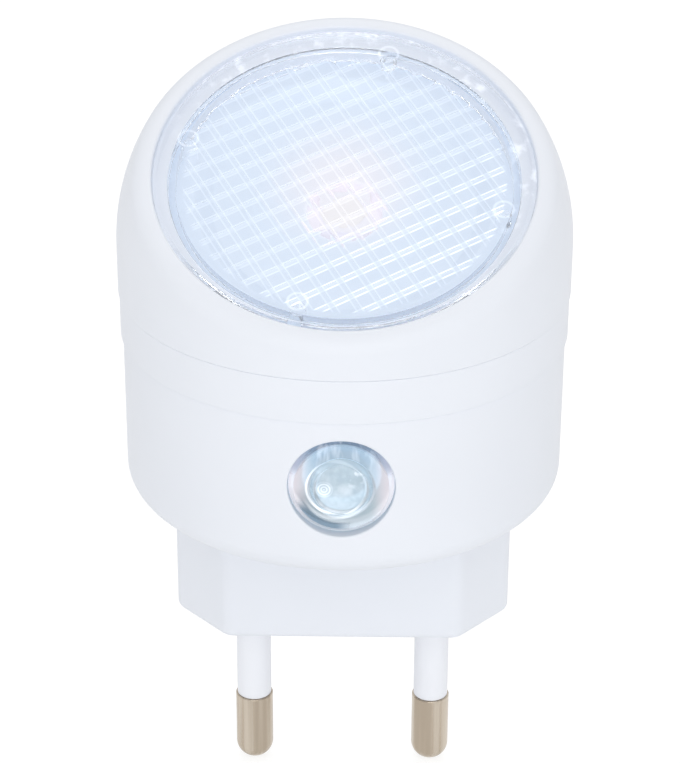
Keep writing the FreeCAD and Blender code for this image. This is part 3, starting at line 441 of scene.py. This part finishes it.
for lean in np.linspace(0, math.pi / 2, 9)[1:]:
    inset = plug_edge * (1 - math.cos(lean))
    end_rows.append(loop(six_sided(inset, plug_corner - inset), plug_edge * (1 - math.sin(lean))))
end_face = six_sided(plug_edge, plug_corner - plug_edge)
end_rows += [loop(end_face * share, 0) for share in (0.66, 0.33, 0)]
inner_low = np.array([floor_rows[-1], inner_wall[0]])
housing_white = white_plastic("housing_white", (0.84, 0.87, 0.93))
skins = [np.array(floor_rows), inner_low, inner_wall, inner_patch, hole_side, outer_patch, outer_wall,
         rim_rows, np.array(low_rows), np.array(end_rows)]
base_skin = piece("base_skin", "base", skins, housing_white, ["base_housing"])

case_ring, case_seat, case_top, case_bore, case_recess, case_post = 17.9, 20.5, 27.2, 1.2, 2.2, 3.0
boss_radius, boss_bore, clamp_radius = 3.8, pin_neck + 0.05, 2.6
case_drill, boss_drill = (10, 19), (-2, plug_end + 0.5)
case_places = [(case_ring * math.cos(way), case_ring * math.sin(way)) for way in np.radians([90, 210, 330])]
pin_places = [(sum(span(f"pin_sleeve_{side}", 0)) / 2, 0) for side in ("left", "right")]
post = np.array([(case_bore, case_seat), (case_recess, case_seat), (case_recess, floor_top),
                 (case_post, floor_top), (case_post, case_top), (case_bore, case_top),
                 (case_bore, case_seat)])
boss = np.array([(boss_bore, plug_end), (boss_radius, plug_end), (boss_radius, boss_top),
                 (boss_bore, boss_top), (boss_bore, plug_end)])
drilled(base_skin, [turned(rod(case_recess, *case_drill), spot, post_columns) for spot in case_places]
        + [turned(rod(boss_bore, *boss_drill), spot, post_columns) for spot in pin_places])
posts = [turned(post, spot, post_columns) for spot in case_places]
posts += [turned(boss, spot, post_columns) for spot in pin_places]
posts.append(turned(rod(clamp_radius, plug_end, flange_top), steps=post_columns))
piece("base_posts", "base", posts, housing_white, ())


# Swivel collar
# The plain band between the two hair-line seams, a shallow tray that turns on the base's hub.
# Moulded in the same plastic as the base; its edges are only broken, so the seams stay fine.
collar_low, collar_high = span("swivel_collar", 2)
collar_radius, collar_wall, collar_bore, collar_edge = 22.65, 1.7, 7.05, 0.09
tray_low, tray_high = 34.4, 36.2
collar_inside = collar_radius - collar_wall
outline = eased([(collar_bore, tray_low), (collar_inside, tray_low), (collar_inside, collar_low),
                 (collar_radius, collar_low, collar_edge), (collar_radius, collar_high, collar_edge),
                 (collar_inside, collar_high), (collar_inside, tray_high), (collar_bore, tray_high)],
                closed=True)
piece("collar_band", "head", [turned(outline, steps=columns)], housing_white, ["swivel_collar"])


# Head housing
# A round-topped shell cut off by the slanted lens face, with a soft wide rim round the lens.
# Rings round the lens's axis make the rim, and rows round Z run from there down the dome to the seam.
dome_level, dome_radius, dome_wall, tilt = 43.02, 22.77, 1.8, math.radians(29.5)
head_low, head_edge = collar_high + 0.04, 0.12
face, rim_round, mouth, mouth_edge = 10.32, 2.0, 18.7, 0.3
ledge, seat, ledge_low, ledge_round, seat_round = 17.2, 8.07, 6.27, 0.15, 0.1
spigot_in, spigot_out, spigot_low, spigot_high, spigot_round = 19.4, 20.9, 36.3, 39.0, 0.2


def lensward(points):
    """Points of the lens's frame, its axis along +Z from the dome's centre, placed in the lamp."""
    x, y, depth = np.moveaxis(points, -1, 0)
    return np.stack([x, y * math.cos(tilt) - depth * math.sin(tilt),
                     dome_level + y * math.sin(tilt) + depth * math.cos(tilt)], -1)


def straightened(points, radius):
    """Below the dome's centre its ball becomes an upright cylinder of the same radius."""
    drop = np.minimum(points[..., 2:] - dome_level, 0)
    spread = radius / np.sqrt(np.maximum(radius ** 2 - drop ** 2, 1))
    return points * np.concatenate([spread, spread, np.ones_like(spread)], -1)


def dome_rows(start, radius, low, count):
    """Rows from a ring on the dome straight down to a level, each column keeping its direction round Z."""
    lean = np.arccos(np.clip((start[:, 2] - dome_level) / radius, -1, 1))
    end = math.acos((low - dome_level) / radius)
    lean = lean + (end - lean) * np.linspace(0, 1, count)[:, None]
    direction = np.arctan2(start[:, 1], start[:, 0])
    return np.stack([radius * np.sin(lean) * np.cos(direction), radius * np.sin(lean) * np.sin(direction),
                     dome_level + radius * np.cos(lean)], -1)


inner_radius = dome_radius - dome_wall
arc_radius, arc_depth = 19.03, face - rim_round
tangent = math.atan2(arc_depth, arc_radius)
arc = [(arc_radius + rim_round * math.sin(lean), arc_depth + rim_round * math.cos(lean))
       for lean in np.linspace(0, math.pi / 2 - tangent, 25)]
inner_start = (math.sqrt(inner_radius ** 2 - ledge_low ** 2), ledge_low)
mouth_rows = eased([inner_start, (ledge, ledge_low, ledge_round), (ledge, seat, seat_round), (mouth, seat),
                    (mouth, face, mouth_edge), (arc_radius + 0.01, face)])
rings = lensward(turned(np.concatenate([mouth_rows[:-1], arc]), steps=columns))
edge_top = head_low + head_edge
outer_rows = straightened(dome_rows(rings[-1], dome_radius, edge_top, 90), dome_radius)
inner_rows = straightened(dome_rows(rings[0], inner_radius, edge_top, 40), inner_radius)
rings = straightened(rings, dome_radius)
rings[0] = inner_rows[0]
edge_rows = []
for lean in np.linspace(0, math.pi / 2, 5):
    shrink = (dome_radius - head_edge * (1 - math.cos(lean))) / dome_radius
    edge_rows.append(outer_rows[-1] * (shrink, shrink, 1) - (0, 0, head_edge * math.sin(lean)))
edge_rows += [inner_rows[-1] - (0, 0, head_edge), inner_rows[-1]]
spigot = eased([(spigot_in, spigot_low), (spigot_out, spigot_low, spigot_round), (spigot_out, spigot_high),
                (spigot_in, spigot_high)], closed=True)
piece("head_shell", "head", [rings, outer_rows, np.array(edge_rows), inner_rows, turned(spigot)],
      housing_white, ["head_housing"])


# Reflector
# A glossy white moulded tray behind the lens, its shallow bowl lit from the LED in the middle.
# The LED's light on it is painted as a weak glow in a warm pinkish white that fades into bluish white at
# the flange, and the bowl's colour is painted paler and pinker where that light falls.
def apart(across, up):
    """The length of a step across and up."""
    return (across * across + up * up) ** 0.5


def on_lens(place):
    """How far a place is across the lens, up its slope and out along its axis from the dome's centre."""
    x, y, z = place.axes()
    rise = z - dome_level
    return x, y * math.cos(tilt) + rise * math.sin(tilt), rise * math.cos(tilt) - y * math.sin(tilt)


def painted_led_glow(name, colour, roughness, share):
    """White plastic with the LED's light painted on: a weak glow by a share, pinkish in the middle and
    bluish at the edge, and a paler, pinker colour where that light falls.
    """
    material, shader, place = finish(name, colour, roughness, Specular_IOR_Level=0.4, Emission_Strength=share)
    across, up_slope, outward = on_lens(place)
    # Painted light: a bright spot on the LED, a pinkish pool just above it and a bluish glow further out.
    lit = 1.0 - apart(across, up_slope - glow_rise).smooth(glow_full, glow_end)
    core = 1.0 - apart(across, up_slope).smooth(led_full, led_end)
    feed(shader, Roughness=noise(place, 700.0) * 0.1 + (roughness - 0.05),
         Emission_Color=core.mix(lit.mix(edge_glow, middle_glow), led_glow),
         Base_Color=lit.mix(colour, (0.86, 0.84, 0.89)))
    return material


glow_rise, glow_full, glow_end, led_full, led_end = 3.2, 1.0, 10.0, 3.6, 4.2
edge_glow, middle_glow, led_glow = (0.2, 0.3, 0.5), (0.95, 0.85, 0.85), (2.1, 1.95, 1.95)
reflector_white = painted_led_glow("reflector_white", (0.74, 0.83, 0.94), 0.35, 0.1)
bowl = [(18.4, 5.15), (18.4, 6.25, 0.15), (14.7, 6.25, 0.5), (13.0, 4.65, 0.8), (9.0, 3.35, 1.0),
        (3.74, 3.35, 0.2)]
back = [(3.74, 1.6), (7.0, 1.6), (7.0, 2.35), (9.3, 2.35), (13.7, 3.7), (15.3, 5.15)]
outline = eased(bowl + back, closed=True)
piece("reflector_tray", "head", [lensward(turned(outline, steps=192))], reflector_white, ["reflector"])


# Lens
# A clear acrylic disc: polished on top, with two families of fine grooves crossing underneath that
# leave a grid of rounded square cells, a thin ring below and four clear pegs into the reflector.
# Weak light painted on the grooves, the pegs and the edge stands for the bright lines of the photo.
def see_through(name, colour, clearness):
    """Clear moulded plastic that bends what is seen through it and lets lamplight through."""
    material, shader, place = finish(name, colour, 0.05, IOR=1.49, Transmission_Weight=clearness)
    shadow, bounce = rays(material.node_tree, "Shadow", "Diffuse")
    pane = shadow.node("ShaderNodeBsdfTransparent", {}, {"Color": (*colour, 1)})
    plastic = Sock(material.node_tree, shader.outputs[0])
    surface(material, mixture(shadow.maths("MAXIMUM", bounce), plastic, pane))
    return material, shader, place


def groove(across):
    """Depth of the nearest groove's rounded V, from the distance across the grooves."""
    off = np.abs(across - np.round(across / pitch) * pitch)
    return groove_depth * np.cos(np.clip(off / groove_half, 0, 1) * math.pi / 2) ** 2


pitch, groove_half, groove_depth, grid_turn = 2.07, 0.36, 0.07, math.radians(29.6)
lens_radius, lens_top, lens_slope, lens_lift = 18.65, 10.07, 0.4, 0.03
skirt_in, skirt_out, skirt_low, skirt_round = 16.45, 17.15, 6.57, 0.08
peg_start, peg_ring, peg_radius, peg_low, peg_round = math.radians(74.6), 15.9, 0.85, 4.75, 0.15
line_share, low_sheen, high_sheen, valley_share, wisp_share, peg_share = 0.10, 0.10, 0.4, 0.06, 0.2, 0.14

clear_plastic, shader, place = see_through("clear_plastic", (0.975, 0.985, 1.0), 0.93)
across, up_slope, outward = on_lens(place)
from_middle = apart(across, up_slope)
families = (across * math.cos(grid_turn) + up_slope * math.sin(grid_turn),
            up_slope * math.cos(grid_turn) - across * math.sin(grid_turn))
columns_off, rows_off = [abs((step / pitch + 40.5).maths("FRACT") - 0.5) * pitch for step in families]
underside = 1.0 - outward.smooth(seat + 0.3, seat + 0.5)
inside_ring = 1.0 - from_middle.smooth(15.5, 15.9)
column_line, row_line = [off.ridge(0.8 * groove_half, 0.03, 0.12) for off in (columns_off, rows_off)]
sheen = low_sheen + (across - up_slope * 1.2).smooth(2.0, 18.0) * high_sheen
dashes = row_line * sheen * (0.25 + columns_off.smooth(0.25, 0.5) * 0.75)
valley = 1.0 - rows_off.smooth(0.1 * groove_half, groove_half)
wisps = noise(place, 700.0, 5.0).smooth(0.50, 0.72) * from_middle.smooth(16.0, 16.6) * wisp_share
wisps = wisps * (across * 0.5 + up_slope).smooth(-6.0, 8.0)
peg_x = abs(across * math.cos(peg_start) + up_slope * math.sin(peg_start))
peg_y = abs(up_slope * math.cos(peg_start) - across * math.sin(peg_start))
from_peg = apart(peg_x.maths("MAXIMUM", peg_y) - peg_ring, peg_x.maths("MINIMUM", peg_y))
peg_rim = from_peg.ridge(peg_radius + 0.1, 0.04, 0.2) * peg_share
glint = (dashes + column_line * line_share + valley * valley_share) * underside * inside_ring
glint = glint + (wisps + peg_rim) * (1.0 - underside)
feed(shader, Roughness=noise(place, 400.0, 2.0) * 0.06 + 0.02,
     Normal=relief(noise(place, 140.0, 2.0), 0.02 * mm),
     Emission_Color=glint.mix((0, 0, 0), (1.0, 1.0, 1.0)))
shader.inputs["Emission Strength"].default_value = 1.0

steps_a_pitch, grid_reach, fade_start, fade_width = 14, 8.2, 0.5, 0.35
line = np.arange(-grid_reach, grid_reach + 1e-6, 1 / steps_a_pitch) * pitch
first, second = np.meshgrid(line, line)
grid_x = first * math.cos(grid_turn) - second * math.sin(grid_turn)
grid_y = first * math.sin(grid_turn) + second * math.cos(grid_turn)
away = np.hypot(grid_x, grid_y)
fade = np.clip((skirt_in - fade_start - away) / fade_width, 0, 1)
depth = seat + np.maximum(groove(first), groove(second)) * fade
grip = np.where(away > skirt_in, skirt_in / np.maximum(away, 1e-6), 1)
grid = np.stack([grid_x * grip, grid_y * grip, depth], -1)
beyond = away > skirt_in - 1e-9
cell = beyond[:-1, :-1] & beyond[:-1, 1:] & beyond[1:, 1:] & beyond[1:, :-1]
used = np.zeros_like(beyond)
for row, column in ((0, 0), (0, 1), (1, 1), (1, 0)):
    used[row:row + len(line) - 1, column:column + len(line) - 1] |= ~cell
grid[~used] = np.nan
edge_angle = np.sort(np.arctan2(grid_y[used & beyond], grid_x[used & beyond]))
edge_angle = np.append(edge_angle, edge_angle[0] + 2 * math.pi)
circle = np.stack([np.cos(edge_angle), np.sin(edge_angle)], -1)
lens_under = seat + lens_lift
outline = eased([(skirt_in, seat), (skirt_in, skirt_low, skirt_round), (skirt_out, skirt_low, skirt_round),
                 (skirt_out, lens_under, 0.1), (lens_radius, lens_under),
                 (lens_radius, lens_top - lens_slope, 0.1), (lens_radius - lens_slope, lens_top, 0.15),
                 (skirt_in, lens_top), (0, lens_top)], steps=4)
shell = np.concatenate([outline[:, None, :1] * circle[None],
                        np.broadcast_to(outline[:, None, 1:], (len(outline), len(edge_angle), 1))], -1)
grids = [lensward(grid), lensward(shell)]
peg_top = seat - lens_lift
peg = eased([(0, peg_low), (peg_radius, peg_low, peg_round), (peg_radius, peg_top), (0, peg_top)])
for angle in peg_start + np.arange(4) * math.pi / 2:
    grids.append(lensward(turned(peg, (peg_ring * math.cos(angle), peg_ring * math.sin(angle)), steps=40)))
piece("lens_disc", "head", grids, clear_plastic, ["lens"], crease=22)


# Sensor window
# A clear button pushed into the base's front, slightly crowned, with a shallow recess behind it
# over the sensor's clear bulb. Its rings, streaks, glints and pale sides and low rim are painted light,
# and its darker top, dark crescent and dark brow painted shade, laid on as tints and weak light,
# in millimetres from the window's middle.
sensor_clear, shader, place = see_through("sensor_clear", (0.80, 0.90, 0.96), 0.8)
feed(shader, Roughness=noise(place, 600.0, 2.0) * 0.05 + 0.02,
     Normal=relief(noise(place, 260.0, 2.0), 0.02 * mm),
     Base_Color=noise(place, 500.0).mix((0.74, 0.86, 0.94), (0.84, 0.93, 0.98)))

window_clear, shader, place = see_through("window_clear", (0.80, 0.90, 0.96), 0.7)
x, y, z = place.axes()
level = z - hole_level
from_axis = apart(x, level)
low_half = 1.0 - level.smooth(-2.6, -1.0)
front = 1.0 - y.smooth(-21.0, -20.4)
behind = y.smooth(-18.3, -18.0)
outer_zone = from_axis.smooth(3.0, 3.4)
side_zone = abs(x).smooth(2.6, 4.4) * outer_zone
top_zone = level.smooth(0.5, 3.0) * outer_zone * (1.0 - abs(x).smooth(2.0, 4.0))
# Painted shade: a dark crescent low on the left and a dark brow along the top of the rim. Painted light: a
# pale band low round the rim.
crescent = from_axis.ridge(4.25, 0.25, 0.55) * low_half * (1.0 - x.smooth(-0.6, 1.4))
rim_zone = from_axis.smooth(4.5, 4.75) * (1.0 - level.smooth(0.0, 2.5))
brow = from_axis.smooth(4.3, 4.7) * level.smooth(0.8, 2.2)
# Painted highlights: white streaks across the top.
streak_glints = noise(stretched(place, (1, 1, 0.2)), 1300.0, 2.0).smooth(0.5, 0.68) * top_zone

# Painted light: bright rings round a point left of the middle, brightest low on the left, with sparkle inside
# them.
ring_middle, inner_ring, outer_ring = -0.5, 2.85, 3.3
from_ring = apart(x - ring_middle, level)
ring_light = 0.12 + 0.38 * (1.0 - (x + level).smooth(-2.5, 1.5))
halo = from_ring.ridge(inner_ring, 0.05, 0.16) * ring_light
halo = halo + from_ring.ridge(outer_ring, 0.05, 0.25) * low_half * 0.25
halo = halo + noise(place, 700.0, 3.0).smooth(0.35, 0.7) * (1.0 - from_ring.smooth(2.4, 2.8)) * 0.16
# Painted glint: bright concentric rings on the sensor's dome, left of the middle.
glint_x, glint_level, ring_step = -1.65, -0.1, 0.28
from_glint = apart(x - glint_x, level - glint_level)
dome_glint = (from_glint / ring_step * math.tau).maths("COSINE") * 0.25 + 0.4
dome_glint = dome_glint * (1.0 - from_glint.smooth(0.6, 0.95))
# Painted highlights: a swirl up to the right and a soft glow in the middle.
swirl_x, swirl_level, glow_x = 1.2, 1.1, 0.45
swirl_glint = noise(place, 1100.0, 4.0).smooth(0.46, 0.62)
swirl_glint = swirl_glint * (1.0 - apart(x - swirl_x, level - swirl_level).smooth(0.3, 1.3))
centre_glow = 1.0 - apart(x - glow_x, level).smooth(0.2, 0.9)

# The plastic's own clear tint, with painted shade at the top, in the crescent and along the brow, and painted
# light at the sides and low on the rim.
clear_tint, top_shade, side_lit_tint = (0.80, 0.88, 0.92), (0.62, 0.74, 0.86), (0.86, 0.84, 0.87)
crescent_shade, rim_lit_tint, brow_shade = (0.10, 0.17, 0.24), (0.95, 0.92, 0.95), (0.30, 0.33, 0.42)
dim_light, side_light, full_light = (0.04, 0.06, 0.08), (0.22, 0.20, 0.22), (1.0, 0.98, 1.0)
tint_and_painted_light = side_zone.mix(top_zone.mix(clear_tint, top_shade), side_lit_tint)
tint_and_painted_light = brow.mix(rim_zone.mix(crescent.mix(tint_and_painted_light, crescent_shade), rim_lit_tint), brow_shade)
outside = 1.0 - crescent
# The painted light added up and kept off the crescent, over a weak painted glow that is stronger at the
# sides.
bright = dome_glint * 0.6 + swirl_glint * 0.4 + streak_glints * 0.22 + halo + centre_glow * 0.15
bright = bright * front * outside + rim_zone * 0.22
feed(shader, Roughness=noise(place, 600.0, 2.0) * 0.05 + 0.02 + behind * 0.5, Base_Color=tint_and_painted_light,
     Emission_Color=bright.mix((side_zone * outside).mix(dim_light, side_light), full_light),
     Normal=relief(noise(place, 260.0, 2.0), 0.04 * mm))
shader.inputs["Emission Strength"].default_value = 1.0


def frontward(points):
    """Points that stand on the sensor's axis, their height measured forwards from the lamp's middle."""
    x, y, height = np.moveaxis(points, -1, 0)
    return np.stack([x, -height, hole_level + y], -1)


window_radius, window_back, cup_radius, cup_back = 5.1, 18.0, 2.9, 19.2
window_front = -span("sensor_window", 1)[0]
crown_rise, crown_edge, side_drop = 0.4, 0.5, 0.5
ridge_radius, dip_radius, ridge_width, ridge_height = 2.65, 3.0, 0.16, 0.22
window_rim, crown_reach = window_front - crown_rise, window_radius - crown_edge
bow = (crown_reach ** 2 + crown_rise ** 2) / (2 * crown_rise)
lean = np.linspace(0, math.asin(crown_reach / bow), 90)
radius = bow * np.sin(lean)
ridge, dip = (np.exp(-((radius - ring) / ridge_width) ** 2) for ring in (ridge_radius, dip_radius))
crown = np.stack([radius, window_front - bow * (1 - np.cos(lean)) + ridge_height * (ridge - dip)], -1)
side = eased([crown[-1], (window_radius, window_rim - side_drop, 0.15), (window_radius, window_back),
              (cup_radius, window_back, 0.1), (cup_radius, cup_back, 0.15), (0, cup_back)])
outline = np.concatenate([crown[:-1], side])
piece("window_button", "base", [frontward(turned(outline, steps=128))], window_clear, ["sensor_window"])

bulb_radius, bulb_flange, bulb_back, flange_front, bulb_shoulder = 2.5, 2.9, 10.4, 11.4, 16.5
lean = np.linspace(0, math.pi / 2, 24)
dome = np.stack([bulb_radius * np.cos(lean), bulb_shoulder + bulb_radius * np.sin(lean)], -1)
stem = [(0, bulb_back), (bulb_flange, bulb_back), (bulb_flange, flange_front), (bulb_radius, flange_front)]
piece("sensor_bulb", "base", [frontward(turned(np.concatenate([stem, dome]), steps=96))], sensor_clear,
      ["light_sensor"])


# Inner pieces
# What the closed lamp hides keeps its CAD form: boards, components, contacts, screws and leads.
# Each material has its own grain, so that none of them is a single flat colour.
def metal(name, colour, roughness, run):
    """Metal with fine marks that run along one of the axes."""
    material, shader, place = finish(name, colour, roughness, Metallic=1.0)
    marks = noise(stretched(place, run), 6000.0, 2.0)
    feed(shader, Roughness=marks * 0.2 + (roughness - 0.1), Normal=relief(marks, 0.003 * mm),
         Base_Color=noise(place, 300.0).mix(tuple(0.92 * part for part in colour), colour))
    return material


def dull(name, colour, roughness, grain, depth):
    """A non-metal with a soft cloud in its colour and a fine grain."""
    material, shader, place = finish(name, colour, roughness)
    rough = noise(place, grain)
    feed(shader, Roughness=rough * 0.2 + (roughness - 0.1), Normal=relief(rough, depth * mm),
         Base_Color=noise(place, 250.0).mix(tuple(0.9 * part for part in colour), colour))
    return material


slots = {
    "inner_white": white_plastic("inner_white", (0.80, 0.82, 0.86)),
    "strip_bronze": metal("strip_bronze", (0.70, 0.48, 0.26), 0.35, (1, 0.1, 1)),
    "screw_steel": metal("screw_steel", (0.62, 0.63, 0.65), 0.3, (1, 1, 0.1)),
    "tinned_lead": metal("tinned_lead", (0.72, 0.72, 0.71), 0.35, (1, 1, 0.1)),
    "retainer_plate": metal("retainer_plate", (0.60, 0.61, 0.62), 0.4, (0.1, 1, 1)),
    "circuit_board": dull("circuit_board", (0.05, 0.20, 0.09), 0.45, 1500.0, 0.01),
    "film_red": dull("film_red", (0.42, 0.06, 0.03), 0.35, 900.0, 0.02),
    "chip_black": dull("chip_black", (0.02, 0.02, 0.022), 0.5, 3000.0, 0.01),
    "can_sleeve": dull("can_sleeve", (0.03, 0.04, 0.10), 0.35, 700.0, 0.01),
    "fuse_coat": dull("fuse_coat", (0.25, 0.38, 0.30), 0.5, 1200.0, 0.02),
    "resistor_coat": dull("resistor_coat", (0.60, 0.46, 0.28), 0.5, 1200.0, 0.02),
    "diode_glass": dull("diode_glass", (0.45, 0.16, 0.05), 0.2, 500.0, 0.005),
    "washer_nylon": dull("washer_nylon", (0.78, 0.75, 0.66), 0.5, 1800.0, 0.01),
    # The LED board and the LED's body carry the same painted glow of the LED's light as the reflector.
    "led_board_metal": painted_led_glow("led_board_metal", (0.85, 0.83, 0.88), 0.4, 0.09),
    "led_body": painted_led_glow("led_body", (0.85, 0.83, 0.88), 0.5, 0.05),
    "lead_sheath": dull("lead_sheath", (0.62, 0.62, 0.64), 0.55, 2000.0, 0.01),
}
phosphor, shader, place = finish("led_yellow", (0.88, 0.84, 0.84), 0.5, Emission_Strength=0.1)
feed(shader, Base_Color=noise(place, 2500.0).mix((0.87, 0.83, 0.81), (0.89, 0.86, 0.87)),
     Emission_Color=noise(place, 900.0).mix((1.0, 0.86, 0.84), (1.0, 0.92, 0.92)))
slots |= {"led_yellow": phosphor, "housing_white": housing_white, "sleeve_white": sleeve_white,
          "pin_nickel": nickel, "clear_plastic": clear_plastic, "sensor_clear": sensor_clear,
          "reflector_white": reflector_white}
for part in frame["record"]["subparts"]:
    mesh = frame["nodes"][part["node"]].data
    mesh.materials.clear()
    mesh.materials.append(slots[part["material_slot"]])
